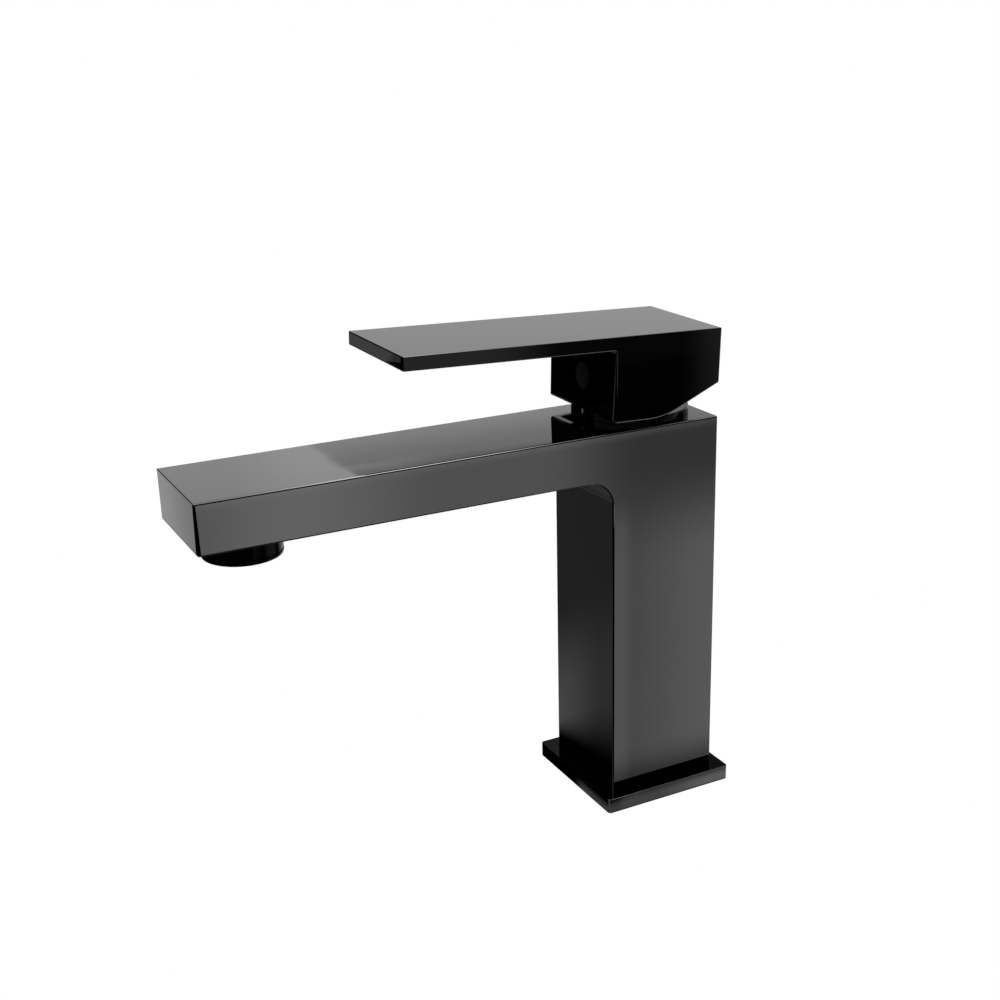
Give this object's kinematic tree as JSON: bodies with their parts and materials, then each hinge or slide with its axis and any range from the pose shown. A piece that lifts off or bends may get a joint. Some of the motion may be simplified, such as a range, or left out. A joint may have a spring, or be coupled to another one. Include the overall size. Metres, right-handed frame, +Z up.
{
  "type": "single-lever basin mixer tap",
  "caption": "Square-column deck-mounted basin mixer with a flat horizontal spout, a flat lift-and-turn lever and a round aerator, in a dark gunmetal finish.",
  "frame": {"origin": "on the worktop plane, on the square column's centre line, in the plane of the base flange's underside", "axes": "+Z up, away from the worktop; the spout points along -Y; X runs from the user's left to right"},
  "size_m": [0.0502, 0.1858, 0.2236],
  "materials": {
    "gunmetal": "polished dark gunmetal plating over brass or zinc, mirror-like with a faint haze",
    "outlet_black": "moulded black, glossy",
    "plug_black": "moulded black",
    "rubber_black": "matt rubber",
    "brass_bare": "turned, bare",
    "steel_zinc": "bright zinc plate",
    "nylon_ivory": "moulded, satin",
    "ceramic_white": "lapped",
    "driver_blue": "moulded, satin",
    "aerator_plastic": "moulded, satin",
    "strainer_grey": "moulded, satin"
  },
  "bodies": {
    "body": {"body_casting": "gunmetal", "base_flange": "gunmetal", "base_seal": "rubber_black", "cover_ring": "gunmetal", "cover_ring_seal": "rubber_black", "retaining_nut": "brass_bare", "cartridge_housing": "nylon_ivory", "housing_seal": "rubber_black", "cartridge_base": "nylon_ivory", "port_seals": "rubber_black", "fixed_disc": "ceramic_white", "aerator_housing": "outlet_black", "aerator_gasket": "rubber_black", "aerator_strainer": "strainer_grey", "aerator_core": "aerator_plastic", "aerator_mesh": "aerator_plastic", "fixing_stud": "steel_zinc", "fixing_gasket": "rubber_black", "fixing_plate": "steel_zinc", "fixing_nut": "brass_bare"},
    "turning": {"stem_carrier": "nylon_ivory", "stem_pin": "steel_zinc"},
    "disc": {"moving_disc": "ceramic_white", "disc_driver": "driver_blue"},
    "lever": {"lever_stem": "brass_bare", "lever": "gunmetal", "lever_screw": "steel_zinc", "index_plug": "plug_black"}
  },
  "joints": [
    {"name": "lever_turn", "type": "hinge", "parent": "body", "child": "turning", "pos_m": [0, 0, 0.125], "axis": [0, 0, 1], "range_deg": [-45, 45]},
    {"name": "lever_lift", "type": "hinge", "parent": "turning", "child": "lever", "pos_m": [0, 0, 0.125], "axis": [-1, 0, 0], "range_deg": [0, 25]},
    {"name": "disc_slide", "type": "slide", "parent": "turning", "child": "disc", "axis": [0, -1, 0], "range_m": [0, 0.0036]}
  ],
  "couplings": [
    {"joint": "disc_slide", "follows": "lever_lift", "m_per_rad": 0.007873}
  ]
}
